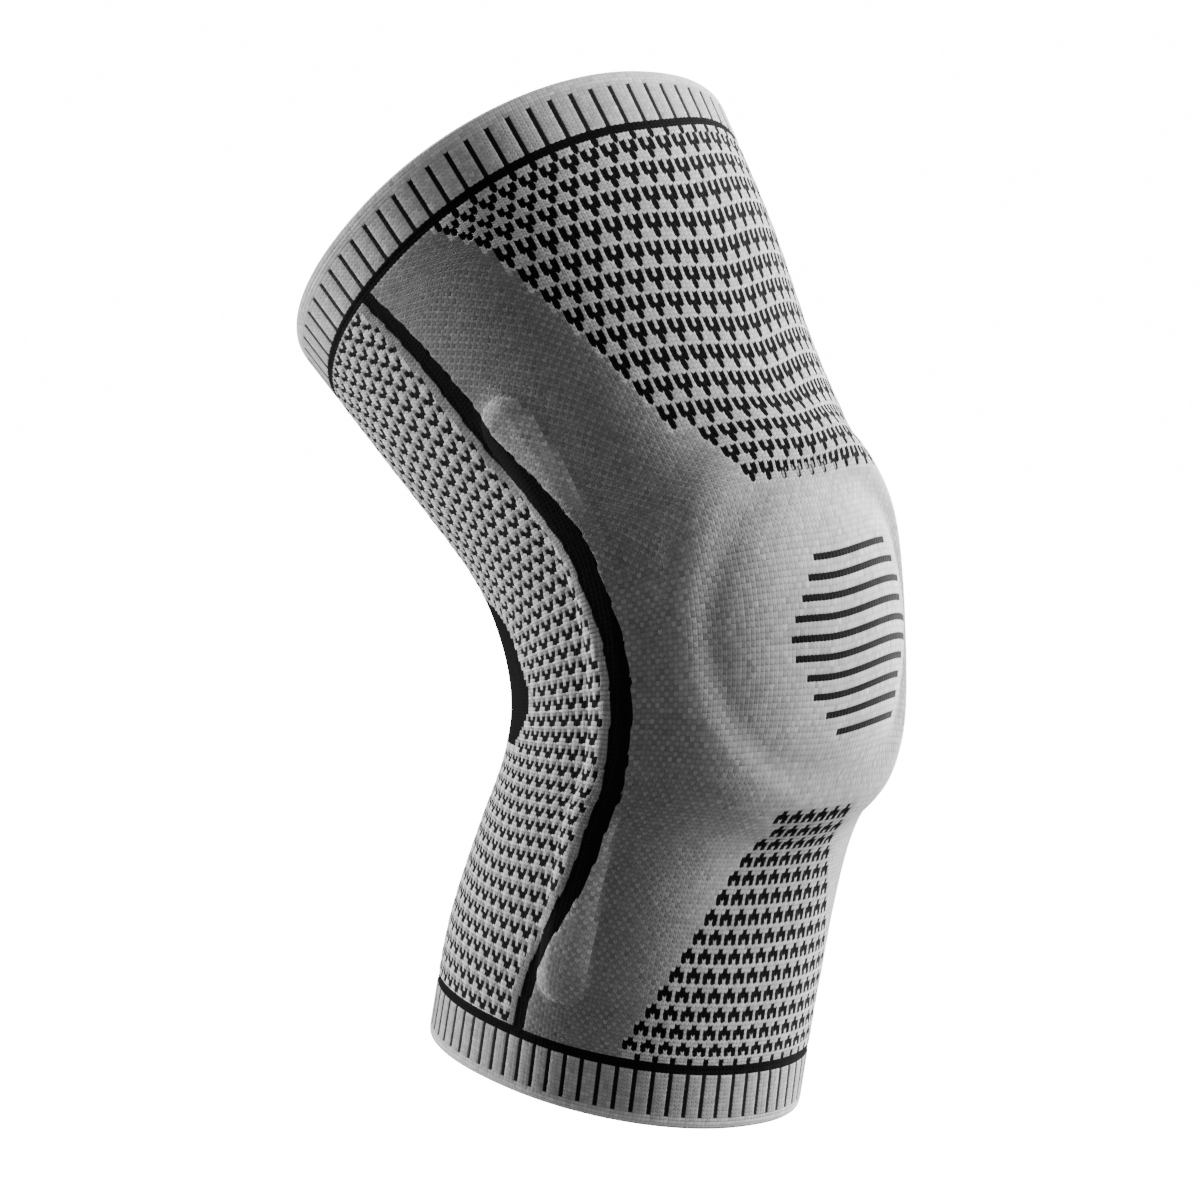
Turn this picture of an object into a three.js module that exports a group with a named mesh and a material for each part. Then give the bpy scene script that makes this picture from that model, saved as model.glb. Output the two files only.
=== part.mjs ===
// Knitted knee sleeve, in the bent shape that it takes on a leg.
// Millimetres and degrees, +Z up. The origin is the middle of the knee, inside the hollow.
// The kneecap faces -Y, the wearer's left is +X, and the sleeve is the same on both sides of X = 0.
// Places on the sleeve are given by two values: "along", the distance from the middle of the knee
// measured up (+) or down (-) the leg, and "round", the share of the girth from the middle of the
// front (0) over the wearer's right side (0.25) to the middle of the back (0.5).
import * as THREE from 'three';

// Overall form
const thighReach = 152;
const calfReach = 139;
const kneeHalfWidth = 58;
const kneeDepth = 58;
const thighLean = 38;
const shankLean = 21;
const calfRimTilt = 13;
const bendLength = 150;
const sectionPower = 2.15;

// Cloth
const knitWall = 1.8;
const cuffWall = 2.8;
const gap = 0.3;

// Zones along the leg
const upperCuffHeight = 18.5;
const lowerCuffHeight = 17;
const trimHeight = 2.6;
const thighPanelEnd = 27;
const shinPanelStart = 43.5;
const windowRise = 48;
const windowDrop = 33;

// Pad ring round the kneecap, held behind the front of the knit
const ringHalfWidth = 54;
const ringHalfHeight = 37;
const ringDrop = 4;
const ringBand = 12;
const ringThickness = 5;
const ringRidgeHeight = 2;
const ringRidgeSpread = 8.5;
const ringClearance = 0.6;

// Side stays, held behind the knit beside the black bands
const stayTop = 80;
const stayBottom = 105;
const stayTopRound = 0.232;
const stayBottomRound = 0.192;
const stayWidth = 13;
const stayThickness = 2.2;
const stayRidgeHeight = 1.4;
const stayRidgeSpread = 8.5;
const stayClearance = 0.4;

// Fineness of the faces
const thighRowStep = 11.5;
const kneeRowStep = 6.6;
const kneeRowsTop = 48;
const kneeRowsBottom = 47.5;
const ringSteps = 40;
const staySteps = 16;

// Sections of the sleeve. "at" is a share of the reach above or below the knee, the half width is a
// share of the knee's half width, and the depths in front and behind are shares of the knee's depth.
const sections = [
  { at: -1.0, width: 0.91, front: 0.94, back: 1.09 },
  { at: -0.74, width: 0.93, front: 0.8, back: 1.17 },
  { at: -0.48, width: 0.95, front: 0.68, back: 1.12 },
  { at: -0.37, width: 0.96, front: 0.7, back: 1.08 },
  { at: -0.26, width: 0.97, front: 0.87, back: 1.05 },
  { at: -0.12, width: 0.99, front: 0.95, back: 1.03 },
  { at: 0.13, width: 1.0, front: 1.03, back: 1.08 },
  { at: 0.28, width: 1.02, front: 0.97, back: 1.09 },
  { at: 0.43, width: 1.05, front: 1.0, back: 1.12 },
  { at: 0.72, width: 1.14, front: 1.17, back: 1.23 },
  { at: 1.0, width: 1.225, front: 1.26, back: 1.34 },
];

// Edges of the lengthwise zones, as shares of the girth: the side edge of the patterned front panels,
// the middle of the black band and half its width, and the edge of the window behind the knee.
const zoneEdges = [
  { at: -1.0, panel: 0.15, band: 0.236, bandHalf: 0.0055, window: 0.4 },
  { at: -0.74, panel: 0.118, band: 0.2245, bandHalf: 0.0055, window: 0.38 },
  { at: -0.48, panel: 0.07, band: 0.1945, bandHalf: 0.007, window: 0.355 },
  { at: -0.31, panel: 0.043, band: 0.1945, bandHalf: 0.0078, window: 0.346 },
  { at: -0.235, panel: 0.048, band: 0.199, bandHalf: 0.0082, window: 0.338 },
  { at: -0.12, panel: 0.055, band: 0.2012, bandHalf: 0.008, window: 0.313 },
  { at: 0.0, panel: 0.065, band: 0.208, bandHalf: 0.0081, window: 0.327 },
  { at: 0.09, panel: 0.075, band: 0.2165, bandHalf: 0.0087, window: 0.337 },
  { at: 0.18, panel: 0.087, band: 0.2208, bandHalf: 0.009, window: 0.354 },
  { at: 0.25, panel: 0.1, band: 0.2272, bandHalf: 0.0089, window: 0.378 },
  { at: 0.315, panel: 0.114, band: 0.2338, bandHalf: 0.0083, window: 0.41 },
  { at: 0.43, panel: 0.131, band: 0.2475, bandHalf: 0.0083, window: 0.42 },
  { at: 0.72, panel: 0.178, band: 0.2633, bandHalf: 0.0054, window: 0.42 },
  { at: 1.0, panel: 0.224, band: 0.284, bandHalf: 0.004, window: 0.42 },
];

const degrees = Math.PI / 180;
const tiny = 1e-6;

function smooth(t) {
  const x = Math.min(1, Math.max(0, t));
  return x * x * (3 - 2 * x);
}

// Smooth curve through one column of a table, at a distance along the leg.
function lookUp(table, column, along) {
  const share = along > 0 ? along / thighReach : along / calfReach;
  let i = 0;
  while (i < table.length - 2 && share > table[i + 1].at) {
    i += 1;
  }
  const slope = (k) => {
    const a = table[Math.max(0, k - 1)];
    const b = table[Math.min(table.length - 1, k + 1)];
    return (b[column] - a[column]) / (b.at - a.at);
  };
  const low = table[i];
  const high = table[i + 1];
  const span = high.at - low.at;
  const t = (share - low.at) / span;
  const rest = 1 - t;
  return (
    low[column] * (1 + 2 * t) * rest * rest +
    span * slope(i) * t * rest * rest +
    high[column] * t * t * (3 - 2 * t) -
    span * slope(i + 1) * t * t * rest
  );
}

// The leg's middle line: straight in the thigh and the shank, bent at the knee.
const lineStep = 1;
const lineMargin = 20;
const lineUp = traceLine(thighReach + lineMargin, 1);
const lineDown = traceLine(calfReach + lineMargin, -1);

function leanAt(along) {
  const bend = smooth(along / bendLength + 0.5);
  return (-shankLean + (thighLean + shankLean) * bend) * degrees;
}

function traceLine(reach, way) {
  const line = [{ y: 0, z: 0 }];
  for (let k = 1; k * lineStep <= reach; k += 1) {
    const lean = leanAt(way * (k - 0.5) * lineStep);
    const last = line[k - 1];
    line.push({
      y: last.y + way * Math.sin(lean) * lineStep,
      z: last.z + way * Math.cos(lean) * lineStep,
    });
  }
  return line;
}

function middleAt(along) {
  const line = along > 0 ? lineUp : lineDown;
  const k = Math.abs(along) / lineStep;
  const i = Math.min(line.length - 2, Math.floor(k));
  const t = k - i;
  return {
    y: line[i].y * (1 - t) + line[i + 1].y * t,
    z: line[i].z * (1 - t) + line[i + 1].z * t,
  };
}

// The plane of a section is tilted like the thigh above the knee, and less than the shank below it.
function tiltAt(along) {
  const bend = smooth(along / bendLength + 0.5);
  return (-calfRimTilt + (thighLean + calfRimTilt) * bend) * degrees;
}

// Half of one section's outline, from front to back, with its length so far at each point.
const outlineSteps = 180;
const outlines = new Map();

function outlineAt(along) {
  const key = along.toFixed(4);
  if (outlines.has(key)) {
    return outlines.get(key);
  }
  const width = lookUp(sections, 'width', along) * kneeHalfWidth;
  const front = lookUp(sections, 'front', along) * kneeDepth;
  const back = lookUp(sections, 'back', along) * kneeDepth;
  const power = 2 / sectionPower;
  const points = [];
  let length = 0;
  for (let k = 0; k <= outlineSteps; k += 1) {
    const turn = (k / outlineSteps) * Math.PI;
    const side = Math.sin(turn);
    const ahead = Math.cos(turn);
    const depth = ahead > 0 ? front : back;
    const x = width * Math.pow(Math.max(0, side), power);
    const y = depth * Math.sign(ahead) * Math.pow(Math.abs(ahead), power);
    if (k > 0) {
      length += Math.hypot(x - points[k - 1].x, y - points[k - 1].y);
    }
    points.push({ x, y, length });
  }
  outlines.set(key, points);
  return points;
}

function girthAt(along) {
  return 2 * outlineAt(along)[outlineSteps].length;
}

// Point of the smooth outer face, before its low relief.
function faceAt(along, round) {
  const points = outlineAt(along);
  const turn = round - Math.floor(round);
  const onRight = turn <= 0.5;
  const target = (onRight ? turn : 1 - turn) * 2 * points[outlineSteps].length;
  let low = 0;
  let high = outlineSteps;
  while (high - low > 1) {
    const mid = (low + high) >> 1;
    if (points[mid].length <= target) {
      low = mid;
    } else {
      high = mid;
    }
  }
  const a = points[low];
  const b = points[high];
  const t = (target - a.length) / (b.length - a.length);
  const x = a.x + (b.x - a.x) * t;
  const ahead = a.y + (b.y - a.y) * t;
  const tilt = tiltAt(along);
  const middle = middleAt(along);
  return new THREE.Vector3(
    onRight ? -x : x,
    middle.y - ahead * Math.cos(tilt),
    middle.z + ahead * Math.sin(tilt),
  );
}

function outwardAt(along, round) {
  const step = 0.5;
  const turn = 0.002;
  const up = faceAt(along + step, round).sub(faceAt(along - step, round));
  const across = faceAt(along, round + turn).sub(faceAt(along, round - turn));
  return up.cross(across).normalize();
}

function nearestTurn(round) {
  return round - Math.round(round);
}

function hump(distance, spread) {
  const r = distance / spread;
  return Math.exp(-r * r);
}

// Distance outside the ring's own middle line, measured on the cloth.
function pastRing(along, round) {
  const x = (nearestTurn(round) * girthAt(0)) / ringHalfWidth;
  const y = (along + ringDrop) / ringHalfHeight;
  const r = Math.max(tiny, Math.hypot(x, y));
  return Math.hypot(x * ringHalfWidth, y * ringHalfHeight) * (1 - 1 / r);
}

function stayRoundAt(along) {
  const t = (along + stayBottom) / (stayTop + stayBottom);
  return stayBottomRound + (stayTopRound - stayBottomRound) * t;
}

// Distance from the stay's middle line, measured on the cloth.
function pastStay(along, round) {
  const end = stayWidth / 2;
  const inside = Math.min(stayTop - end, Math.max(-stayBottom + end, along));
  const turn = Math.abs(nearestTurn(round)) - stayRoundAt(inside);
  return Math.hypot(turn * girthAt(inside), along - inside);
}

function reliefAt(along, round) {
  const ring = ringRidgeHeight * hump(pastRing(along, round), ringRidgeSpread);
  const stay = stayRidgeHeight * hump(pastStay(along, round), stayRidgeSpread);
  return ring + stay;
}

// Point of the sleeve at a depth under its outer face.
function clothPoint(along, round, depth) {
  const out = outwardAt(along, round);
  return faceAt(along, round).addScaledVector(out, reliefAt(along, round) - depth);
}

function alongScale(along, round) {
  const step = 0.5;
  return faceAt(along + step, round).distanceTo(faceAt(along - step, round)) / (2 * step);
}

// Borders between the zones along the leg. Each leaves the gap, measured where the zones meet.
const trimTop = thighReach - upperCuffHeight;
const bodyTop = trimTop - trimHeight;
const trimBottom = -calfReach + lowerCuffHeight;
const bodyBottom = trimBottom + trimHeight;
const frontRound = 0;
const backRound = 0.5;
const borders = [
  { name: 'upperCuff', along: trimTop, round: backRound },
  { name: 'upperTrim', along: bodyTop, round: backRound },
  { name: 'windowTop', along: windowRise, round: backRound },
  { name: 'thighEnd', along: thighPanelEnd, round: frontRound },
  { name: 'windowEnd', along: -windowDrop, round: backRound },
  { name: 'shinStart', along: -shinPanelStart, round: frontRound },
  { name: 'lowerTrim', along: bodyBottom, round: backRound },
  { name: 'lowerCuff', along: trimBottom, round: backRound },
];
for (const border of borders) {
  border.half = gap / 2 / Math.min(1, alongScale(border.along, border.round));
}
borders.sort((a, b) => b.along - a.along);

function isAt(along, name) {
  const border = borders.find((each) => each.name === name);
  return Math.abs(along - border.along) < border.half;
}

// A hem is rolled: towards the rim the two faces of the cuff close in a half round.
const hemTurns = [0, 30, 55, 75];
const hemRadius = cuffWall / 2;

function hemRows(rim, way) {
  return hemTurns.map((turn) => rim + way * hemRadius * (1 - Math.sin(turn * degrees)));
}

function buildRows() {
  const rows = hemRows(thighReach, -1).reverse();
  const fill = (from, to, step) => {
    const count = Math.max(1, Math.round((from - to) / step));
    for (let k = 1; k <= count; k += 1) {
      rows.push(from + ((to - from) * k) / count);
    }
  };
  let last = thighReach - hemRadius;
  for (const border of borders) {
    const middle = (last + border.along) / 2;
    const nearKnee = middle < kneeRowsTop && middle > -kneeRowsBottom;
    fill(last, border.along + border.half, nearKnee ? kneeRowStep : thighRowStep);
    last = border.along - border.half;
    rows.push(last);
  }
  fill(last, -calfReach + hemRadius, thighRowStep);
  rows.push(...hemRows(-calfReach, 1).slice(1));
  return rows;
}

// Columns of the right half, from the middle of the front to the middle of the back. Each strip
// between two columns has a name, and the narrow ones are the gaps beside the lengthwise borders.
const strips = [
  { name: 'centre', count: 6 },
  { name: 'panelGap', count: 1 },
  { name: 'side', count: 8 },
  { name: 'bandFrontGap', count: 1 },
  { name: 'band', count: 1 },
  { name: 'bandBackGap', count: 1 },
  { name: 'calf', count: 5 },
  { name: 'windowGap', count: 1 },
  { name: 'window', count: 4 },
];

function stripEdges(along) {
  const half = gap / 2 / girthAt(along);
  const panel = lookUp(zoneEdges, 'panel', along);
  const band = lookUp(zoneEdges, 'band', along);
  const bandHalf = lookUp(zoneEdges, 'bandHalf', along);
  const windowEdge = lookUp(zoneEdges, 'window', along);
  const edges = [0];
  for (const edge of [panel, band - bandHalf, band + bandHalf, windowEdge]) {
    edges.push(edge - half, edge + half);
  }
  edges.push(backRound);
  return edges;
}

function columnsAt(along) {
  const edges = stripEdges(along);
  const half = [];
  strips.forEach((strip, k) => {
    for (let n = 0; n < strip.count; n += 1) {
      half.push(edges[k] + ((edges[k + 1] - edges[k]) * n) / strip.count);
    }
  });
  half.push(backRound);
  const otherHalf = half.slice(1, -1).reverse().map((round) => 1 - round);
  return half.concat(otherHalf);
}

const halfStrips = strips.flatMap((strip) => Array(strip.count).fill(strip.name));
const stripNames = halfStrips.concat([...halfStrips].reverse());
const columnCount = stripNames.length;
const rowsAlong = buildRows();

// The node that a cell of the grid belongs to, or null in a gap.
function ownerOf(along, column) {
  const strip = stripNames[column];
  const right = column < halfStrips.length;
  for (const name of ['upperCuff', 'upperTrim', 'lowerTrim', 'lowerCuff']) {
    if (isAt(along, name)) {
      return null;
    }
  }
  if (along > trimTop) {
    return 'upper_cuff';
  }
  if (along > bodyTop) {
    return 'upper_trim';
  }
  if (along < trimBottom) {
    return 'lower_cuff';
  }
  if (along < bodyBottom) {
    return 'lower_trim';
  }
  const frontGap = isAt(along, 'thighEnd') || isAt(along, 'shinStart');
  const atKnee = !frontGap && along < thighPanelEnd && along > -shinPanelStart;
  const windowGap = isAt(along, 'windowTop') || isAt(along, 'windowEnd');
  const besideWindow = windowGap || (along < windowRise && along > -windowDrop);
  switch (strip) {
    case 'centre':
      if (frontGap) {
        return null;
      }
      if (atKnee) {
        return 'knee_panel';
      }
      return along > 0 ? 'thigh_panel' : 'shin_panel';
    case 'panelGap':
      return atKnee ? 'knee_panel' : null;
    case 'side':
      return 'knee_panel';
    case 'band':
      return right ? 'side_band_right' : 'side_band_left';
    case 'calf':
      return 'back_panel';
    case 'windowGap':
      return besideWindow ? null : 'back_panel';
    case 'window':
      if (!besideWindow) {
        return 'back_panel';
      }
      return windowGap ? null : 'popliteal_panel';
    default:
      return null;
  }
}

// Depths of the two faces under the outer surface. The cuffs are thicker than the body, inwards, and
// their hems are rolled.
function depthsAt(along, node) {
  const isCuff = node === 'upper_cuff' || node === 'lower_cuff';
  if (!isCuff) {
    return { outer: 0, inner: knitWall };
  }
  const rim = node === 'upper_cuff' ? thighReach - along : along + calfReach;
  if (rim >= hemRadius) {
    return { outer: 0, inner: cuffWall };
  }
  const rise = 1 - Math.sqrt(Math.max(0, 1 - Math.pow(1 - rim / hemRadius, 2)));
  return { outer: hemRadius * rise, inner: cuffWall - hemRadius * rise };
}

function meshFrom(name, points, triangles, material) {
  const geometry = new THREE.BufferGeometry();
  geometry.setAttribute('position', new THREE.Float32BufferAttribute(points.flat(), 3));
  geometry.setIndex(triangles.flat());
  geometry.computeVertexNormals();
  const mesh = new THREE.Mesh(geometry, material);
  mesh.name = name;
  return mesh;
}

// One closed shell from all cells of the grid that belong to a node.
function shell(name, material) {
  const points = [];
  const triangles = [];
  const known = new Map();
  const point = (row, column, face) => {
    const wrapped = (column + columnCount) % columnCount;
    const key = `${row} ${wrapped} ${face}`;
    if (!known.has(key)) {
      const along = rowsAlong[row];
      const depth = depthsAt(along, name)[face];
      known.set(key, points.length);
      points.push(clothPoint(along, columnsAt(along)[wrapped], depth).toArray());
    }
    return known.get(key);
  };
  const owns = (row, column) => {
    if (row < 0 || row >= rowsAlong.length - 1) {
      return false;
    }
    const middle = (rowsAlong[row] + rowsAlong[row + 1]) / 2;
    return ownerOf(middle, (column + columnCount) % columnCount) === name;
  };
  const quad = (a, b, c, d) => {
    triangles.push([a, b, c], [a, c, d]);
  };
  const wall = (rowA, columnA, rowB, columnB) => {
    quad(
      point(rowA, columnA, 'outer'),
      point(rowB, columnB, 'outer'),
      point(rowB, columnB, 'inner'),
      point(rowA, columnA, 'inner'),
    );
  };
  for (let row = 0; row < rowsAlong.length - 1; row += 1) {
    for (let column = 0; column < columnCount; column += 1) {
      if (!owns(row, column)) {
        continue;
      }
      const corners = [
        [row, column],
        [row, column + 1],
        [row + 1, column + 1],
        [row + 1, column],
      ];
      const outer = corners.map(([r, c]) => point(r, c, 'outer'));
      const inner = corners.map(([r, c]) => point(r, c, 'inner'));
      quad(outer[0], outer[1], outer[2], outer[3]);
      quad(inner[0], inner[3], inner[2], inner[1]);
      if (!owns(row - 1, column)) {
        wall(row, column + 1, row, column);
      }
      if (!owns(row + 1, column)) {
        wall(row + 1, column, row + 1, column + 1);
      }
      if (!owns(row, column - 1)) {
        wall(row, column, row + 1, column);
      }
      if (!owns(row, column + 1)) {
        wall(row + 1, column + 1, row, column + 1);
      }
    }
  }
  return meshFrom(name, points, triangles, material);
}

// Closed band: rings of points joined one to the next, and the last to the first or capped.
function sweep(name, rings, closed, material) {
  const points = rings.flat().map((each) => each.toArray());
  const size = rings[0].length;
  const triangles = [];
  const count = closed ? rings.length : rings.length - 1;
  for (let k = 0; k < count; k += 1) {
    const next = ((k + 1) % rings.length) * size;
    for (let n = 0; n < size; n += 1) {
      const m = (n + 1) % size;
      triangles.push([k * size + n, next + m, next + n], [k * size + n, k * size + m, next + m]);
    }
  }
  if (!closed) {
    const end = (rings.length - 1) * size;
    for (let n = 1; n < size - 1; n += 1) {
      triangles.push([0, n + 1, n], [end, end + n, end + n + 1]);
    }
  }
  return meshFrom(name, points, triangles, material);
}

// The pad ring is flat against the knit and crowned towards the leg. Its profile is given as shares
// of its band (across) and of its thickness (into the hollow).
const ringProfile = [
  { across: -0.5, deep: 0.25 },
  { across: -0.36, deep: 0.04 },
  { across: 0, deep: 0 },
  { across: 0.36, deep: 0.04 },
  { across: 0.5, deep: 0.25 },
  { across: 0.42, deep: 0.65 },
  { across: 0.15, deep: 1 },
  { across: -0.15, deep: 1 },
  { across: -0.42, deep: 0.65 },
];

function patellaRing(material) {
  const rings = [];
  for (let k = 0; k < ringSteps; k += 1) {
    const turn = (k / ringSteps) * 2 * Math.PI;
    rings.push(
      ringProfile.map(({ across, deep }) => {
        const out = across * ringBand;
        const along = -ringDrop + (ringHalfHeight + out) * Math.cos(turn);
        const round = ((ringHalfWidth + out) * Math.sin(turn)) / girthAt(0);
        const depth = knitWall + gap + ringClearance + deep * ringThickness;
        return clothPoint(along, round, depth);
      }),
    );
  }
  return sweep('patella_ring', rings, true, material);
}

// A stay is a flat strip with round ends. Its profile is given as for the ring.
const stayProfile = [
  { across: -0.5, deep: 0.5 },
  { across: -0.4, deep: 0 },
  { across: 0, deep: 0 },
  { across: 0.4, deep: 0 },
  { across: 0.5, deep: 0.5 },
  { across: 0.4, deep: 1 },
  { across: 0, deep: 1 },
  { across: -0.4, deep: 1 },
];
const stayEndShare = 0.3;

function sideStay(name, side, material) {
  const length = stayTop + stayBottom;
  const endLength = stayWidth / 2;
  const places = [0, 0.15, 0.5, 1].map((share) => share * endLength);
  for (let k = 1; k < staySteps; k += 1) {
    places.push(endLength + ((length - 2 * endLength) * k) / staySteps);
  }
  places.push(...places.slice(0, 4).reverse().map((place) => length - place));
  const rings = places.map((place) => {
    const toEnd = Math.min(1, Math.min(place, length - place) / endLength);
    const width = stayWidth * Math.max(stayEndShare, Math.sqrt(toEnd * (2 - toEnd)));
    const along = stayTop - place;
    return stayProfile.map(({ across, deep }) => {
      const round = side * (stayRoundAt(along) + (across * width) / girthAt(along));
      return clothPoint(along, round, knitWall + gap + stayClearance + deep * stayThickness);
    });
  });
  if (side < 0) {
    rings.forEach((ring) => ring.reverse());
  }
  return sweep(name, rings, false, material);
}

function cloth(color, roughness) {
  return new THREE.MeshStandardMaterial({ color, roughness, metalness: 0 });
}

const lightKnit = cloth(0xc9c9c9, 0.85);
const darkKnit = cloth(0x4a4a4a, 0.9);
const blackKnit = cloth(0x0c0c0c, 0.9);
const cuffKnit = cloth(0xb4b4b4, 0.85);
const padGel = new THREE.MeshStandardMaterial({ color: 0x8c8c8c, roughness: 0.5, metalness: 0 });
const stayPlastic = new THREE.MeshStandardMaterial({ color: 0x2a2a2a, roughness: 0.4, metalness: 0 });

const shellMaterials = {
  upper_cuff: cuffKnit,
  upper_trim: blackKnit,
  thigh_panel: lightKnit,
  knee_panel: darkKnit,
  shin_panel: lightKnit,
  side_band_left: blackKnit,
  side_band_right: blackKnit,
  back_panel: lightKnit,
  popliteal_panel: darkKnit,
  lower_trim: blackKnit,
  lower_cuff: cuffKnit,
};

const sleeve = new THREE.Group();
for (const [name, material] of Object.entries(shellMaterials)) {
  sleeve.add(shell(name, material));
}
sleeve.add(patellaRing(padGel));
sleeve.add(sideStay('side_stay_left', -1, stayPlastic));
sleeve.add(sideStay('side_stay_right', 1, stayPlastic));

export default sleeve;
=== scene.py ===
"""Looks of the knitted knee sleeve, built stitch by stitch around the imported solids.

The named sizes are in millimetres and the scene is in metres. A place on the sleeve has two values:
"along", the distance from the middle of the knee up (+) or down (-) the leg, and "round", the share
of the girth from the middle of the front (0) over the wearer's right side (0.25) to the back (0.5).
The knit is one grid of stitches: courses run round the leg and are counted from the lower rim, and
wales run along it and are counted from the middle of the front.
"""

import math

import bpy
import numpy as np
from mathutils import Matrix, Vector

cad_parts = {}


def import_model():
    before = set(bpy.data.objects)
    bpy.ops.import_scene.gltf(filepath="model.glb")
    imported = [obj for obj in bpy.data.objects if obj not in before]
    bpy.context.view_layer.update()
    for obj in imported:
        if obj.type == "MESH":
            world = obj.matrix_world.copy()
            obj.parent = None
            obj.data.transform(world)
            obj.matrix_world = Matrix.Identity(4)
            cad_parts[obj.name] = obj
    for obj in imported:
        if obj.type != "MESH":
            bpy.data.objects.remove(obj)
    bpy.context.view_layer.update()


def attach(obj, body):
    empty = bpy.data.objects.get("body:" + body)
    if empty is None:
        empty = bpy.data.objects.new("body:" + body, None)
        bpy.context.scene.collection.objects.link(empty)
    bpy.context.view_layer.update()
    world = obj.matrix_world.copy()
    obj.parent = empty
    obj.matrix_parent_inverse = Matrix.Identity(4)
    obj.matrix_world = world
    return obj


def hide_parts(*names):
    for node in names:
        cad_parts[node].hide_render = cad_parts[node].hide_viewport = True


MM = 0.001

# Overall form, as in the solids
THIGH_REACH = 152.0
CALF_REACH = 139.0
KNEE_HALF_WIDTH = 58.0
KNEE_DEPTH = 58.0
THIGH_LEAN = 38.0
SHANK_LEAN = 21.0
CALF_RIM_TILT = 13.0
BEND_LENGTH = 150.0
SECTION_POWER = 2.15

# Cloth
KNIT_WALL = 1.8
CUFF_WALL = 2.8
GAP = 0.3

# Window behind the knee
WINDOW_RISE = 48.0
WINDOW_DROP = 33.0

# Pad ring and side stays
RING_HALF_WIDTH = 54.0
RING_HALF_HEIGHT = 37.0
RING_DROP = 4.0
RING_BAND = 12.0
RING_THICKNESS = 5.0
RING_CLEARANCE = 0.6
RING_RIDGE = 2.1
RING_SPREAD = 6.0
CAP_VALLEY = 0.5
CAP_VALLEY_IN = 12.0
FLANK_RISE = 1.4
FLANK_OUT = 8.0
RIM_VALLEY = 1.6
RIM_VALLEY_IN = 5.0
RELIEF_SPREAD = 5.0
STAY_TOP = 80.0
STAY_BOTTOM = 105.0
STAY_TOP_ROUND = 0.232
STAY_BOTTOM_ROUND = 0.192
STAY_WIDTH = 13.0
STAY_THICKNESS = 2.2
STAY_CLEARANCE = 0.4
STAY_RIDGE = 1.9
STAY_SHOULDER = 1.45
STAY_SLOPE = 0.55 * STAY_WIDTH

# The imprint of a stay in the outer face: how far from its middle line it ends, how much lower
# than the stay's own tip, the rise of its edge and how wide that edge is
IMPRINT_REACH = 9.6
TIP_DROP = 5.0
IMPRINT_RISE = 0.9
IMPRINT_EDGE = 1.8
TIP_CALM = 0.75

# Sections: share of the reach, half width, depth in front and depth behind
SECTIONS = np.array([
    (-1.0, 0.91, 0.94, 1.09),
    (-0.74, 0.93, 0.8, 1.17),
    (-0.48, 0.95, 0.68, 1.12),
    (-0.37, 0.96, 0.7, 1.08),
    (-0.26, 0.97, 0.87, 1.05),
    (-0.12, 0.99, 0.95, 1.03),
    (0.13, 1.0, 1.03, 1.08),
    (0.28, 1.02, 0.97, 1.09),
    (0.43, 1.05, 1.0, 1.12),
    (0.72, 1.14, 1.17, 1.23),
    (1.0, 1.225, 1.26, 1.34),
])

# Lengthwise zones: share of the reach, edge of the front panels, middle of the black band, half of
# its width, and edge of the window behind the knee, the last four as shares of the girth
ZONE_EDGES = np.array([
    (-1.0, 0.15, 0.236, 0.0055, 0.4),
    (-0.74, 0.118, 0.2245, 0.0055, 0.38),
    (-0.48, 0.07, 0.1945, 0.007, 0.355),
    (-0.31, 0.043, 0.1945, 0.0078, 0.346),
    (-0.235, 0.048, 0.199, 0.0082, 0.338),
    (-0.12, 0.055, 0.2012, 0.008, 0.313),
    (0.0, 0.065, 0.208, 0.0081, 0.327),
    (0.09, 0.075, 0.2165, 0.0087, 0.337),
    (0.18, 0.087, 0.2208, 0.009, 0.354),
    (0.25, 0.1, 0.2272, 0.0089, 0.378),
    (0.315, 0.114, 0.2338, 0.0083, 0.41),
    (0.43, 0.131, 0.2475, 0.0083, 0.42),
    (0.72, 0.178, 0.2633, 0.0054, 0.42),
    (1.0, 0.224, 0.284, 0.004, 0.42),
])

# The knit: its wales and half wales, and the wales to a motif
WALES = 264
COLUMNS = 2 * WALES
REPEAT = 4

# The first course of each part of the knit, from the lower rim up, and the number of courses
LOWER_TICKS = 2
LOWER_TRIM = 13
SHIN_STUBS = 15
SHIN_ROWS = 17
KNEE = 73
THIGH_ROWS = 125
THIGH_STUBS = 209
UPPER_TRIM = 211
UPPER_TICKS = 213
UPPER_HEM = 223
COURSES = 226

# Courses to a row of motifs
SHIN_REPEAT = 4
THIGH_REPEAT = 6
BACK_REPEAT = 4

# Height in front of the edges between the motif rows, from the lowest up
SHIN_EDGES = [-117.3, -112.5, -107, -101.3, -95.4, -89.3, -83.4, -77.5, -71.2, -65.3, -60, -55,
              -50.5, -46.2, -42]
THIGH_EDGES = [25.6, 29.5, 34, 39.3, 45.5, 52.5, 60, 68, 76, 84, 92.5, 101.5, 110.8, 119.8, 128.3]

# The first and last heights of the faces: past them the hems are rolled
HEM_RADIUS = CUFF_WALL / 2
LOWEST = -CALF_REACH + HEM_RADIUS
HIGHEST = THIGH_REACH - HEM_RADIUS

# Heights where the hems, the ticks of the cuffs and the trims meet
LOWER_HEM_TOP = -135.4
LOWER_TRIM_LOW = -122
LOWER_TRIM_TOP = -119.4
UPPER_TRIM_LOW = 131
UPPER_TRIM_TOP = 133.5
UPPER_HEM_LOW = 147

# Behind, the courses are evenly spaced from the lower trim up to this one, and closer above it
BACK_EVEN_COURSE = 187
BACK_EVEN_HEIGHT = 106


def smooth(t):
    x = np.clip(t, 0.0, 1.0)
    return x * x * (3 - 2 * x)


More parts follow.
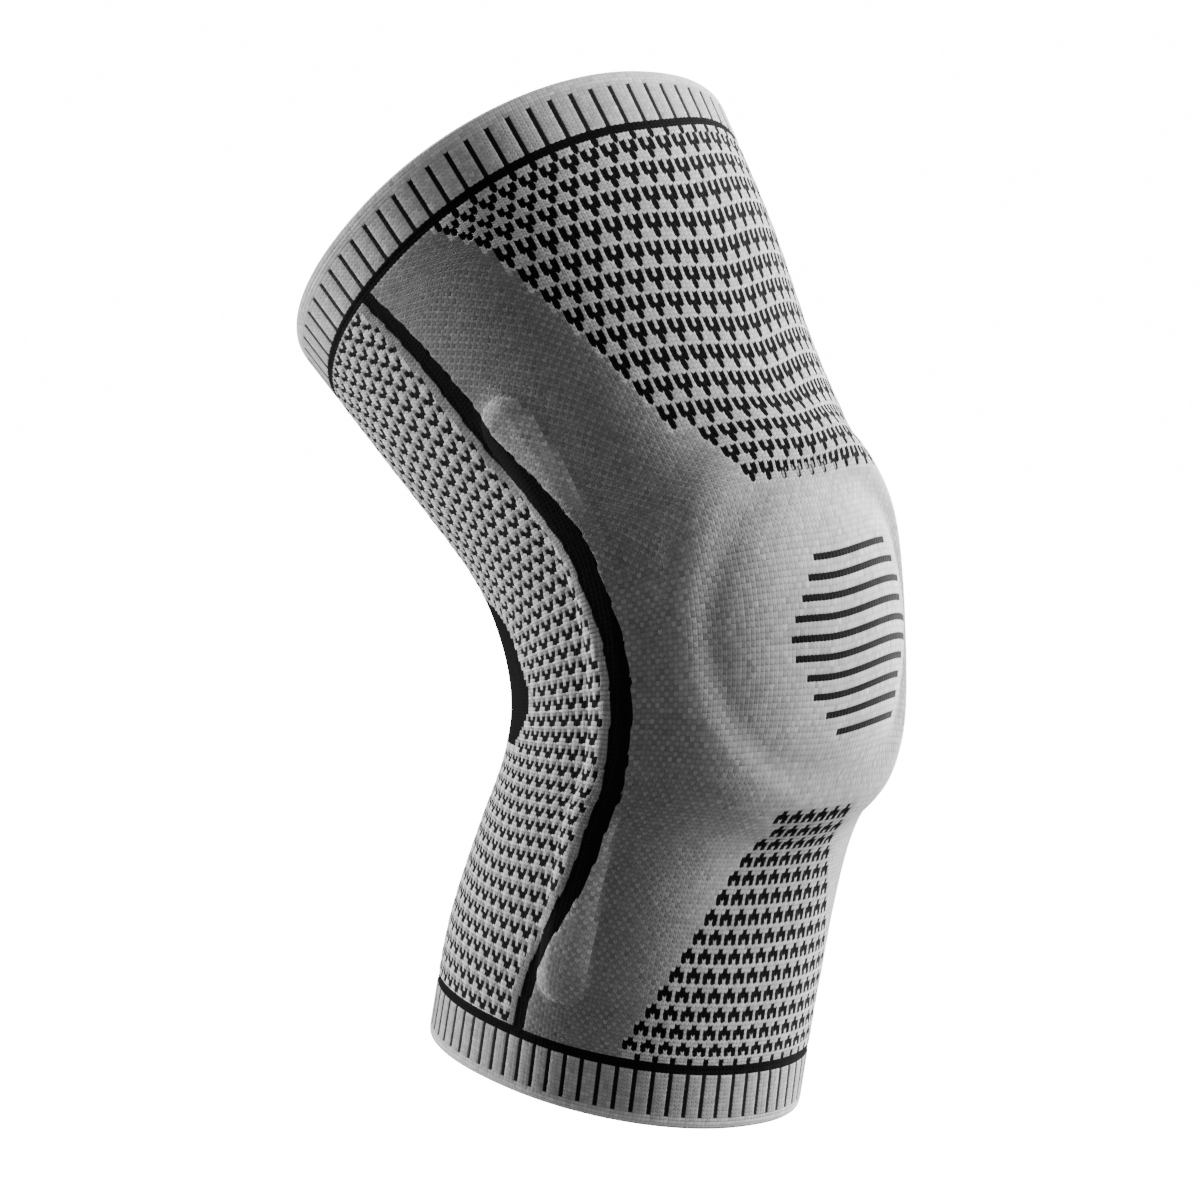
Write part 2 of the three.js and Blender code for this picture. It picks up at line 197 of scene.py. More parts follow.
def look_up(table, column, along):
    """Smooth curve through one column of a table, at distances along the leg."""
    at = table[:, 0]
    values = table[:, column]
    along = np.asarray(along, float)
    share = np.where(along > 0, along / THIGH_REACH, along / CALF_REACH)
    index = np.arange(len(at))
    before = np.maximum(index - 1, 0)
    after = np.minimum(index + 1, len(at) - 1)
    slope = (values[after] - values[before]) / (at[after] - at[before])
    i = np.clip(np.searchsorted(at, share, side="left") - 1, 0, len(at) - 2)
    span = at[i + 1] - at[i]
    t = (share - at[i]) / span
    rest = 1 - t
    return (
        values[i] * (1 + 2 * t) * rest * rest
        + span * slope[i] * t * rest * rest
        + values[i + 1] * t * t * (3 - 2 * t)
        - span * slope[i + 1] * t * t * rest
    )


# The smooth form is worked out on a fine grid: its step along the leg, how far it goes past the
# rims, its steps round the leg and the points of half a section's outline
GRID_STEP = 0.5
GRID_MARGIN = 4
GRID_LOW = -CALF_REACH - GRID_MARGIN
GRID_ROUND = 1440
OUTLINE_POINTS = 361
LINE_MARGIN = 20


def middle_line():
    """The leg's middle line as heights along it and the points there."""
    step = GRID_STEP
    reach = THIGH_REACH + LINE_MARGIN
    places = np.arange(-reach, reach + step / 2, step)
    between = (places[1:] + places[:-1]) / 2
    bend = smooth(between / BEND_LENGTH + 0.5)
    lean = np.radians(-SHANK_LEAN + (THIGH_LEAN + SHANK_LEAN) * bend)
    y = np.concatenate([[0], np.cumsum(np.sin(lean) * step)])
    z = np.concatenate([[0], np.cumsum(np.cos(lean) * step)])
    y -= np.interp(0, places, y)
    z -= np.interp(0, places, z)
    return places, y, z


def face_grid():
    """The smooth outer face on a fine grid: points, outward directions and the girth of each row."""
    along = np.arange(GRID_LOW, THIGH_REACH + GRID_MARGIN + GRID_STEP / 2, GRID_STEP)
    places, line_y, line_z = middle_line()
    width = look_up(SECTIONS, 1, along) * KNEE_HALF_WIDTH
    front = look_up(SECTIONS, 2, along) * KNEE_DEPTH
    back = look_up(SECTIONS, 3, along) * KNEE_DEPTH
    bend = smooth(along / BEND_LENGTH + 0.5)
    tilt = np.radians(-CALF_RIM_TILT + (THIGH_LEAN + CALF_RIM_TILT) * bend)
    turn = np.linspace(0, math.pi, OUTLINE_POINTS)
    side = np.abs(np.sin(turn)) ** (2 / SECTION_POWER)
    ahead = np.sign(np.cos(turn)) * np.abs(np.cos(turn)) ** (2 / SECTION_POWER)
    half = GRID_ROUND // 2
    points = np.zeros((len(along), GRID_ROUND, 3))
    girth = np.zeros(len(along))
    for k in range(len(along)):
        x = width[k] * side
        y = np.where(ahead > 0, front[k], back[k]) * ahead
        length = np.concatenate([[0], np.cumsum(np.hypot(np.diff(x), np.diff(y)))])
        girth[k] = 2 * length[-1]
        wanted = np.linspace(0, length[-1], half + 1)
        px = np.interp(wanted, length, x)
        py = np.interp(wanted, length, y)
        px = np.concatenate([-px, px[1:-1][::-1]])
        py = np.concatenate([py, py[1:-1][::-1]])
        points[k, :, 0] = px
        points[k, :, 1] = np.interp(along[k], places, line_y) - py * math.cos(tilt[k])
        points[k, :, 2] = np.interp(along[k], places, line_z) + py * math.sin(tilt[k])
    up = np.gradient(points, axis=0)
    across = np.roll(points, -2, axis=1) - np.roll(points, 2, axis=1)
    out = np.cross(up, across)
    out /= np.linalg.norm(out, axis=-1, keepdims=True)
    return along, points, out, girth


GRID_ALONG, GRID_POINTS, GRID_OUT, GRID_GIRTH = face_grid()


def sample(grid, along, turn):
    """Value of a grid between its points."""
    row = np.clip((along - GRID_LOW) / GRID_STEP, 0, len(GRID_ALONG) - 1.001)
    i = row.astype(int)
    a = (row - i)[..., None]
    column = (turn % 1.0) * GRID_ROUND
    j = np.floor(column).astype(int)
    b = (column - j)[..., None]
    j %= GRID_ROUND
    k = (j + 1) % GRID_ROUND
    low = grid[i, j] * (1 - b) + grid[i, k] * b
    high = grid[i + 1, j] * (1 - b) + grid[i + 1, k] * b
    return low * (1 - a) + high * a


def girth_at(along):
    return np.interp(along, GRID_ALONG, GRID_GIRTH)


def nearest(turn):
    return turn - np.round(turn)


def hump(distance, spread):
    return np.exp(-((distance / spread) ** 2))


def past_ring(along, turn):
    """Distance outside the ring's own middle line."""
    x = nearest(turn) * girth_at(0.0) / RING_HALF_WIDTH
    y = (along + RING_DROP) / RING_HALF_HEIGHT
    r = np.maximum(1e-6, np.hypot(x, y))
    return np.hypot(x * RING_HALF_WIDTH, y * RING_HALF_HEIGHT) * (1 - 1 / r)


def stay_round(along):
    t = (along + STAY_BOTTOM) / (STAY_TOP + STAY_BOTTOM)
    return STAY_BOTTOM_ROUND + (STAY_TOP_ROUND - STAY_BOTTOM_ROUND) * t


def past_stay(along, turn, short=0.0):
    """Distance from the middle line of the stay, or of one that ends lower by a length."""
    end = STAY_WIDTH / 2
    inside = np.clip(along, -STAY_BOTTOM + end, STAY_TOP - short - end)
    away = (np.abs(nearest(turn)) - stay_round(inside)) * girth_at(inside)
    return np.hypot(away, along - inside)


def stay_ridge(along, turn, short=0.0):
    return STAY_RIDGE * smooth(STAY_SHOULDER - past_stay(along, turn, short) / STAY_SLOPE)


def relief_at(along, turn):
    """Low relief of what lies behind the knit: the pad ring, the kneecap inside it and the stays."""
    ring = RING_RIDGE * hump(past_ring(along, turn), RING_SPREAD)
    valley = CAP_VALLEY * hump(past_ring(along, turn) + CAP_VALLEY_IN, RELIEF_SPREAD)
    return ring - valley + stay_ridge(along, turn)


def face_relief(along, turn):
    """Relief of the outer face alone: the pad's outer flank and inner valley, the stays' edges."""
    from_ring = past_ring(along, turn)
    from_stay = past_stay(along, turn, TIP_DROP)
    flank = FLANK_RISE * hump(from_ring - FLANK_OUT, RELIEF_SPREAD)
    valley = RIM_VALLEY * hump(from_ring + RIM_VALLEY_IN, RELIEF_SPREAD)
    imprint = IMPRINT_RISE * smooth((IMPRINT_REACH - from_stay) / IMPRINT_EDGE)
    tip = stay_ridge(along, turn) - stay_ridge(along, turn, TIP_DROP)
    return flank - valley + imprint - TIP_CALM * tip


def cloth_point(along, turn, depth):
    out = sample(GRID_OUT, along, turn)
    out /= np.linalg.norm(out, axis=-1, keepdims=True)
    lift = relief_at(along, turn) - depth
    return sample(GRID_POINTS, along, turn) + out * lift[..., None]


# Height of each course in front and behind
LOWER_COURSES = [0, LOWER_TICKS, LOWER_TRIM, SHIN_STUBS]
UPPER_COURSES = [UPPER_TRIM, UPPER_TICKS, UPPER_HEM, COURSES]
FRONT_COURSES = (
    LOWER_COURSES
    + [SHIN_ROWS + SHIN_REPEAT * k for k in range(len(SHIN_EDGES))]
    + [THIGH_ROWS + THIGH_REPEAT * k for k in range(len(THIGH_EDGES))]
    + UPPER_COURSES
)
LOWER_HEIGHTS = [LOWEST, LOWER_HEM_TOP, LOWER_TRIM_LOW, LOWER_TRIM_TOP]
UPPER_HEIGHTS = [UPPER_TRIM_LOW, UPPER_TRIM_TOP, UPPER_HEM_LOW, HIGHEST]
FRONT_HEIGHTS = LOWER_HEIGHTS + SHIN_EDGES + THIGH_EDGES + UPPER_HEIGHTS
BACK_COURSES = LOWER_COURSES + [BACK_EVEN_COURSE] + UPPER_COURSES
BACK_HEIGHTS = LOWER_HEIGHTS + [BACK_EVEN_HEIGHT] + UPPER_HEIGHTS

# How far the motif rows of the thigh rise towards the sides, and how far the courses rise on the
# wearer's left of the kneecap, each at some courses
SIDE_RISE_COURSES = [THIGH_ROWS, 137, 149, 161, 173, 179, 191, 197, 203, 209]
SIDE_RISE = [0, 3, 7, 9.5, 10.5, 10.5, 10, 7, 3, 0]
LEFT_RISE_COURSES = [SHIN_ROWS + 50, 90, 112, THIGH_ROWS, 150, 200, UPPER_TICKS, COURSES]
LEFT_RISE = [0, 5, 5, 4, 8, 8, 6, 0]

# Where the courses go over from their heights in front to those behind, as shares of the girth
BACK_FROM = 0.2
BACK_BLEND = 0.12

# Where the rise to the sides is full, as a share of the girth, how much further it grows past that
# place, and how steeply it grows
SIDE_FULL = 0.15
SIDE_LIMIT = 1.15
SIDE_POWER = 1.6

# Where the rise on the wearer's left ends in front and behind, over which shares of the girth it
# fades there, and how much of it is lost at the side
LEFT_FRONT = 0.035
LEFT_FRONT_BLEND = 0.13
LEFT_BACK = 0.36
LEFT_BACK_BLEND = 0.16
LEFT_LOSS = 0.5


def height_at(course, turn):
    """Height along the leg of a place in the knit."""
    course = np.asarray(course, float)
    side = np.abs(nearest(turn))
    to_back = smooth((side - BACK_FROM) / BACK_BLEND)
    front = np.interp(course, FRONT_COURSES, FRONT_HEIGHTS)
    back = np.interp(course, BACK_COURSES, BACK_HEIGHTS)
    rise = np.interp(course, SIDE_RISE_COURSES, SIDE_RISE, left=0, right=0)
    left = np.interp(course, LEFT_RISE_COURSES, LEFT_RISE, left=0, right=0)
    towards = np.clip(side / SIDE_FULL, 0, SIDE_LIMIT) ** SIDE_POWER
    on_left = smooth((LEFT_FRONT - nearest(turn)) / LEFT_FRONT_BLEND)
    on_left = on_left * smooth((nearest(turn) + LEFT_BACK) / LEFT_BACK_BLEND)
    raised = rise * towards * (1 - to_back)
    level = front * (1 - to_back) + back * to_back
    return level + raised + left * on_left * (1 - LEFT_LOSS * towards)


ZONES = [
    "lower_cuff",
    "lower_trim",
    "shin_panel",
    "knee_panel",
    "thigh_panel",
    "side_band_right",
    "side_band_left",
    "back_panel",
    "popliteal_panel",
    "upper_trim",
    "upper_cuff",
]
ZONE = {name: k for k, name in enumerate(ZONES)}

# Shares of the light that the yarns and knits give back
LIGHT_YARN = 0.69
UPPER_CUFF_YARN = 0.54
# The lower cuff's yarn is that of the upper cuff, darkened by painted shade
LOWER_CUFF_YARN_AND_PAINTED_SHADE = 0.46
HEM_YARN = 0.72
# Painted shade on the one course where each hem folds over
FOLD_PAINTED_SHADE = 0.8
BLACK_YARN = 0.008
TIP_YARN = 0.22
DARK_KNIT = 0.27
# Kneecap tone: partly the knit's own and partly painted light
FRONT_KNIT_AND_PAINTED_LIGHT = 0.74
WINDOW_KNIT = 0.006
# Tone of the painted highlight over the ends of the stays
STAY_HIGHLIGHT_TONE = 0.54
BESIDE_BAND = 0.3
FLOAT_YARN = 0.5

# How uneven the shades of the stitches are, and the most that one of them differs
UNEVEN = 0.1
UNEVEN_LIMIT = 0.25

# How much every second stitch of the plain knit differs at the side, and how much less in front
MESH = 0.15
MESH_LOSS = 0.1

# Shade of the inner face against the outer one
REVERSE_SHADE = 0.45

# The light front is partly the knit's own tone and partly painted light
# Where the light front of the plain knit ends and how wide its edge is, as shares of the girth
LIGHT_EDGE = 0.17
LIGHT_BLEND = 0.15

# The plain knit over the pad ring: how far past the ring's middle line it carries a painted highlight,
# how much, how much of that its valley loses, and how much painted shade darkens the valley
RING_LIGHT_REACH = 9
RING_PAINTED_HIGHLIGHT = 0.45
VALLEY_LOSS = 0.9
VALLEY_PAINTED_SHADE = 0.25

# The loops between the cups behind, the loops inside them and all others, against the light yarn:
# painted highlight on the first two, painted shade on the rest
LOOP_BETWEEN = 1.25
LOOP_INSIDE = 1.08
LOOP_SHADED = 0.66

# Lines over the kneecap: each is one course of black yarn, from one place round the leg to another
LINE_COURSES = [112, 109, 106, 103, 100, 97, 94, 91, 88, 85]
LINE_STARTS = [0.039, 0.047, 0.053, 0.06, 0.064, 0.061, 0.051, 0.04, 0.028, 0.013]
LINE_ENDS = [-0.058, -0.068, -0.078, -0.081, -0.097, -0.099, -0.085, -0.076, -0.075, -0.075]

# One value for each course and wale, taken at the middle of the stitch
COURSE = np.arange(COURSES)[:, None] + np.zeros((1, WALES), int)
WALE = np.arange(WALES)[None, :] + np.zeros((COURSES, 1), int)
TURN = (WALE + 0.5) / WALES
SIDE = np.abs(nearest(TURN))
HEIGHT = height_at(COURSE + 0.5, TURN)
PANEL_EDGE, BAND_MIDDLE, BAND_HALF, WINDOW_EDGE = [
    look_up(ZONE_EDGES, column, HEIGHT) for column in (1, 2, 3, 4)
]


def motif_places(first, repeat, start):
    """Each stitch's row of motifs, its course in that row and its offset from its motif's middle."""
    row = (COURSE - first) // repeat
    step = (COURSE - first) % repeat
    off = (WALE - start - 2 * row + 2) % REPEAT - 2
    return row, step, off


THIGH_ROW, THIGH_STEP, THIGH_OFF = motif_places(THIGH_ROWS, THIGH_REPEAT, 3)
SHIN_ROW, SHIN_STEP, SHIN_OFF = motif_places(SHIN_ROWS, SHIN_REPEAT, 1)
BACK_STEP, BACK_OFF = motif_places(SHIN_STUBS, BACK_REPEAT, 1)[1:]


def on_panel(row, off, first, repeat):
    """A motif is knitted whole: its row and its own middle decide whether it is on the panel."""
    middle = (WALE - off + 0.5) / WALES
    at = height_at(first + repeat * (row + 0.5), middle)
    return np.abs(nearest(middle)) < look_up(ZONE_EDGES, 1, at)


def zone_chart():
    """The zone of each stitch. Each layer goes over those before it."""
    on_thigh = on_panel(THIGH_ROW, THIGH_OFF, THIGH_ROWS, THIGH_REPEAT)
    on_thigh = np.where(COURSE >= THIGH_STUBS, SIDE < PANEL_EDGE, on_thigh)
    on_shin = on_panel(SHIN_ROW, SHIN_OFF, SHIN_ROWS, SHIN_REPEAT)
    on_shin = np.where(COURSE < SHIN_ROWS, SIDE < PANEL_EDGE, on_shin)
    behind = SIDE > BAND_MIDDLE + BAND_HALF
    in_window = (HEIGHT < WINDOW_RISE) & (HEIGHT > -WINDOW_DROP) & (SIDE > WINDOW_EDGE)
    on_band = np.abs(SIDE - BAND_MIDDLE) <= BAND_HALF
    layers = [
        ("thigh_panel", (COURSE >= THIGH_ROWS) & on_thigh),
        ("shin_panel", (COURSE < KNEE) & on_shin),
        ("back_panel", behind),
        ("popliteal_panel", behind & in_window),
        ("side_band_right", on_band & (TURN < 0.5)),
        ("side_band_left", on_band & (TURN > 0.5)),
        ("lower_cuff", COURSE < LOWER_TRIM),
        ("lower_trim", (COURSE >= LOWER_TRIM) & (COURSE < SHIN_STUBS)),
        ("upper_trim", (COURSE >= UPPER_TRIM) & (COURSE < UPPER_TICKS)),
        ("upper_cuff", COURSE >= UPPER_TICKS),
    ]
    zone = np.full((COURSES, WALES), ZONE["knee_panel"])
    for name, place in layers:
        zone[place] = ZONE[name]
    return zone


STITCH_ZONE = zone_chart()


def is_zone(*names):
    return np.isin(STITCH_ZONE, [ZONE[name] for name in names])


def kneecap_lines():
    place = nearest(TURN)
    found = np.zeros((COURSES, WALES), bool)
    for at, start, end in zip(LINE_COURSES, LINE_STARTS, LINE_ENDS):
        found |= (COURSE == at) & (place < start) & (place > end)
    return found


ON_LINES = kneecap_lines()
IN_LOWER_TICKS = (COURSE >= LOWER_TICKS) & (COURSE < LOWER_TRIM)
IN_TICKS = IN_LOWER_TICKS | ((COURSE >= UPPER_TICKS) & (COURSE < UPPER_HEM))

# Plain margins of the back panel, in wales beside the band and the window and in millimetres
# above and below the window
BAND_MARGIN = 2.2
WINDOW_MARGIN = 1.5
WINDOW_MARGIN_HEIGHT = 2
NEAR_BAND = SIDE < BAND_MIDDLE + BAND_HALF + BAND_MARGIN / WALES
NEAR_WINDOW = (
    (HEIGHT < WINDOW_RISE + WINDOW_MARGIN_HEIGHT)
    & (HEIGHT > -WINDOW_DROP - WINDOW_MARGIN_HEIGHT)
    & (SIDE > WINDOW_EDGE - WINDOW_MARGIN / WALES)
)


def black_stitches():
    """The whole stitches of black yarn: all but the cups behind."""
    # The forked motifs of the thigh, from the lowest course up: gap, stem, stem, base, arms, arms
    fork = (
        (np.isin(THIGH_STEP, (1, 2)) & (THIGH_OFF == 0))
        | ((THIGH_STEP == 3) & (np.abs(THIGH_OFF) <= 1))
        | ((THIGH_STEP >= 4) & (np.abs(THIGH_OFF) == 1))
    )
    # The smaller ones of the shin hang the other way: gap, legs, base, stem
    hook = (
        ((SHIN_STEP == 1) & (np.abs(SHIN_OFF) == 1))
        | ((SHIN_STEP == 2) & (np.abs(SHIN_OFF) <= 1))
        | ((SHIN_STEP == 3) & (SHIN_OFF == 0))
    )
    tick = WALE % REPEAT == REPEAT - 1
    rows_thigh = (COURSE >= THIGH_ROWS) & (COURSE < THIGH_STUBS)
    rows_shin = (COURSE >= SHIN_ROWS) & (COURSE < KNEE)
    black = is_zone("thigh_panel") & np.where(rows_thigh, fork, tick)
    black |= is_zone("shin_panel") & np.where(rows_shin, hook, tick & (COURSE >= SHIN_STUBS))
    black |= IN_TICKS & tick
    black |= is_zone("upper_trim", "lower_trim", "side_band_left", "side_band_right")
    return black | ON_LINES


# A painted highlight lies on the plain knit over the ends of the stays: how strong it is, how wide
# its edge is, the heights between which it isn't, and over which lengths it sets in
PALENESS = 0.8
PALE_EDGE = 1.2
PALE_ABOVE = 30
PALE_ABOVE_BLEND = 14
PALE_BELOW = -45
PALE_BELOW_BLEND = 8

# Shares of that painted highlight on the flat of a stay and added on its crest, and the crest's
# distance from the stay's middle line and its spread
PALE_FLAT = 0.72
PALE_CREST = 0.4
CREST_OUT = 7
CREST_SPREAD = 2.5

# How much of it is lost at the very ends, the heights past which it fades, and over which lengths
LOW_FADE = 0.5
LOW_FADE_FROM = -86
LOW_FADE_BLEND = 14
HIGH_FADE = 0.4
HIGH_FADE_FROM = 64
HIGH_FADE_BLEND = 7


def painted_stay_highlight():
    """Painted highlight on the plain knit over the ends of the stays, most of all along their edges."""
    from_stay = past_stay(HEIGHT, TURN, TIP_DROP)
    upper = smooth((HEIGHT - PALE_ABOVE) / PALE_ABOVE_BLEND)
    lower = smooth((PALE_BELOW - HEIGHT) / PALE_BELOW_BLEND)
    crest = PALE_FLAT + PALE_CREST * hump(from_stay - CREST_OUT, CREST_SPREAD)
    fade = 1 - LOW_FADE * smooth((LOW_FADE_FROM - HEIGHT) / LOW_FADE_BLEND)
    fade = fade - HIGH_FADE * smooth((HEIGHT - HIGH_FADE_FROM) / HIGH_FADE_BLEND)
    over_stay = smooth((IMPRINT_REACH - from_stay) / PALE_EDGE)
    return PALENESS * (upper + lower) * over_stay * crest * fade


def ground_shades():
    """The shade of every stitch as if none were black."""
    # The plain knit is light in front, partly its own tone and partly painted light, with a painted
    # highlight over the pad ring and painted shade in the ring's valley
    from_ring = past_ring(HEIGHT, TURN)
    in_valley = hump(from_ring + RIM_VALLEY_IN, RELIEF_SPREAD)
    ring_highlight = smooth((RING_LIGHT_REACH - from_ring) / RING_LIGHT_REACH)
    ring_highlight = ring_highlight * (1 - VALLEY_LOSS * in_valley)
    to_front = smooth((LIGHT_EDGE - SIDE) / LIGHT_BLEND)
    to_front = to_front + RING_PAINTED_HIGHLIGHT * ring_highlight * (1 - to_front)
    knee = DARK_KNIT + (FRONT_KNIT_AND_PAINTED_LIGHT - DARK_KNIT) * to_front
    knee = knee * (1 - VALLEY_PAINTED_SHADE * in_valley)
    # Painted highlight on the plain knit over the ends of the stays
    knee += painted_stay_highlight() * (STAY_HIGHLIGHT_TONE - knee)
    # Painted highlight on the loops between and inside the cups behind, painted shade on the others
    low_half = BACK_STEP <= 1
    between = low_half & (BACK_OFF == -2)
    inside = (low_half & (np.abs(BACK_OFF) == 1)) | (~low_half & (BACK_OFF == 0))
    painted_loop_light = np.where(between, LOOP_BETWEEN, np.where(inside, LOOP_INSIDE, LOOP_SHADED))
    layers = [
        (is_zone("knee_panel"), knee),
        (is_zone("back_panel"), LIGHT_YARN * painted_loop_light),
        (is_zone("back_panel") & NEAR_BAND, BESIDE_BAND),
        (is_zone("popliteal_panel"), WINDOW_KNIT),
        (is_zone("upper_cuff"), UPPER_CUFF_YARN),
        # Painted shade darkens the lower cuff
        (is_zone("lower_cuff"), LOWER_CUFF_YARN_AND_PAINTED_SHADE),
        ((COURSE < LOWER_TICKS) | (COURSE >= UPPER_HEM), HEM_YARN),
        # Painted shade on the one course where each hem folds over
        ((COURSE == LOWER_TICKS - 1) | (COURSE == UPPER_HEM), FOLD_PAINTED_SHADE * HEM_YARN),
    ]
    ground = np.full((COURSES, WALES), LIGHT_YARN)
    for place, shade in layers:
        ground = np.where(place, shade, ground)
    # Every second stitch of the plain knit is darker, and each stitch is a little uneven
    mesh = MESH - MESH_LOSS * to_front
    weave = 1 + mesh * np.where((WALE + COURSE) % 2 == 0, 1, -1) * is_zone("knee_panel")
    noise = 1 + UNEVEN * np.random.default_rng(7).standard_normal((COURSES, WALES))
    return ground * weave * np.clip(noise, 1 - UNEVEN_LIMIT, 1 + UNEVEN_LIMIT)


# How far black yarn swells over the light yarn beside it, aside in half wales and up in courses
MOTIF_ASIDE = 0.32
MOTIF_UPWARD = 0.16
UPPER_TICK_ASIDE = -0.12
LINE_UPWARD = 0.03
CUP_ASIDE = 0.1
CUP_UPWARD = 0.35


def stitch_chart():
    """For each course and half wale: zone, black yarn, shade, and swell of the black aside and up."""
    aside = np.where(IN_TICKS, UPPER_TICK_ASIDE, MOTIF_ASIDE)
    aside = np.where(IN_LOWER_TICKS, 0.0, aside)
    upward = np.where(IN_TICKS, 0.0, MOTIF_UPWARD)
    upward = np.where(ON_LINES, LINE_UPWARD, upward)
    behind = is_zone("back_panel") & ~NEAR_BAND & ~NEAR_WINDOW
    maps = (STITCH_ZONE, black_stitches(), ground_shades(), aside, upward, behind, BACK_STEP,
            2 * BACK_OFF)
    maps = [np.repeat(values, 2, axis=1) for values in maps]
    zone, black, shade, aside, upward, behind, step, off = maps
    # The motifs behind are small cups, drawn in halves of a wale: gap, base, arms, thin tips
    spread = np.abs(off + np.arange(COLUMNS) % 2 - 0.5)
    base = behind & (step == 1) & (spread < 2)
    arms = behind & (step == 2) & (spread > 1) & (spread < 3)
    tips = behind & (step == 3) & (spread == 2.5)
    black |= base | arms | tips
    aside = np.where(base, CUP_ASIDE, aside)
    upward = np.where(base | arms, CUP_UPWARD, upward)
    shade = np.where(black, BLACK_YARN, shade)
    shade = np.where(tips, TIP_YARN, shade)
    return zone, black, shade, aside * black, upward * black


ZONE_MAP, BLACK_MAP, SHADE_MAP, ASIDE_MAP, UPWARD_MAP = stitch_chart()


# The black bands' edges, in half wales: how far they lie past the band's own width, how far a point
# may be shifted to meet them, and after how many courses their ragged steps repeat
BAND_OVER = 0.45
BAND_REACH = 0.9
RAGGED_COURSES = 8

# Relief of the stitches: how far the middle of each V dips, in courses, and how much calmer that is
# in the trims, in the hems and over the kneecap; the depth of black yarn and of the ribs between
# the legs of the Vs, in millimetres
V_DIP = 0.4
TRIM_CALM = 0.25
KNEE_CALM = 0.35
KNEE_CALM_MARGIN = 8
BLACK_SINK = 0.3
RIB = 0.12


def follow_band(row, turn):
    """Shift the points at the edges of the black bands onto the bands' slightly ragged edges."""
    inside = (ZONE_MAP == ZONE["side_band_left"]) | (ZONE_MAP == ZONE["side_band_right"])
    step = inside != np.roll(inside, 1, axis=1)
    at_edge = np.zeros(turn.shape, bool)
    at_edge[1:-1] = step[1:] | step[:-1]
    height = height_at(row, turn)
    middle = look_up(ZONE_EDGES, 2, height)
    half = look_up(ZONE_EDGES, 3, height) + BAND_OVER / COLUMNS
    place = nearest(turn)
    side = np.abs(place)
    edge = np.where(side < middle, middle - half, middle + half)
    reach = BAND_REACH / COLUMNS
    edge = edge + (row % RAGGED_COURSES / RAGGED_COURSES - 0.5) / COLUMNS
    moved = np.sign(place) * np.clip(edge, side - reach, side + reach)
    return np.where(at_edge, moved, turn)


def face_vertices():
    """The outer face, with two columns of points to a wale: each stitch is a V of two legs."""
    row = np.arange(COURSES + 1)[:, None] + np.zeros((1, COLUMNS))
    column = np.arange(COLUMNS)[None, :] + np.zeros((COURSES + 1, 1))
    between_legs = column % 2 == 1
    calm = np.ones(COURSES + 1)
    trims = ((0, LOWER_TICKS), (LOWER_TRIM, SHIN_STUBS), (UPPER_TRIM, UPPER_TICKS), (UPPER_HEM, COURSES))
    for first, last in trims:
        calm[first:last + 1] = TRIM_CALM
    calm[KNEE + KNEE_CALM_MARGIN:THIGH_ROWS - KNEE_CALM_MARGIN] = KNEE_CALM
    calm[[0, COURSES]] = 0
    dip = np.where(between_legs, V_DIP, 0.0) * calm[:, None]
    # Black yarn swells over the light yarn beside it: each point moves by the cells around it
    aside = np.zeros((COURSES + 1, COLUMNS))
    right = ASIDE_MAP
    left = np.roll(right, 1, axis=1)
    aside[1:-1] = (left[1:] + left[:-1] - right[1:] - right[:-1]) / 2
    upward = np.zeros((COURSES + 1, COLUMNS))
    right = UPWARD_MAP
    left = np.roll(right, 1, axis=1)
    upward[1:-1] = (left[:-1] + right[:-1] - left[1:] - right[1:]) / 2
    turn = follow_band(row, column / COLUMNS + aside / COLUMNS)
    along = height_at(row - dip + upward, turn)
    sunk = np.zeros((COURSES + 1, COLUMNS))
    around = (np.roll(BLACK_MAP, 1, axis=1) * 1.0 + BLACK_MAP) / 2
    sunk[1:-1] = (around[1:] + around[:-1]) / 2
    rib = np.where(between_legs, -RIB, RIB)
    rib[[0, -1]] = 0
    return cloth_point(along, turn, BLACK_SINK * sunk - rib - face_relief(along, turn))


def roll_rows(rim, way):
    """Points of a rolled hem, from the outer face round to the inner one."""
    column = np.arange(COLUMNS) / COLUMNS
    rows = []
    for turn in np.radians([20, 40, 60, 80, 100, 120, 140, 160]):
        along = np.full(COLUMNS, rim - way * HEM_RADIUS * (1 - math.sin(turn)))
        depth = np.full(COLUMNS, HEM_RADIUS * (1 - math.cos(turn)))
        rows.append(cloth_point(along, column, depth))
    return np.array(rows)


# The inner face has one row of points to two courses. Its wall grows thicker into the cuffs.
INNER_STEP = 2
UPPER_CUFF_EDGE = 131.5
LOWER_CUFF_EDGE = -120
WALL_RAMP = 3


def inner_vertices():
    rows = np.arange(0, COURSES + 1, INNER_STEP)
    row = rows[:, None] + np.zeros((1, COLUMNS))
    turn = np.arange(COLUMNS)[None, :] / COLUMNS + np.zeros((len(rows), 1))
    along = height_at(row, turn)
    in_upper_cuff = smooth((along - UPPER_CUFF_EDGE) / WALL_RAMP)
    in_lower_cuff = smooth((LOWER_CUFF_EDGE - along) / WALL_RAMP)
    depth = KNIT_WALL + (CUFF_WALL - KNIT_WALL) * (in_upper_cuff + in_lower_cuff)
    return cloth_point(along, turn, depth)


def grid_normals(points, way):
    up = np.gradient(points, axis=0)
    across = np.roll(points, -1, axis=1) - np.roll(points, 1, axis=1)
    out = np.cross(up, across) * way
    return out / np.maximum(np.linalg.norm(out, axis=-1, keepdims=True), 1e-12)


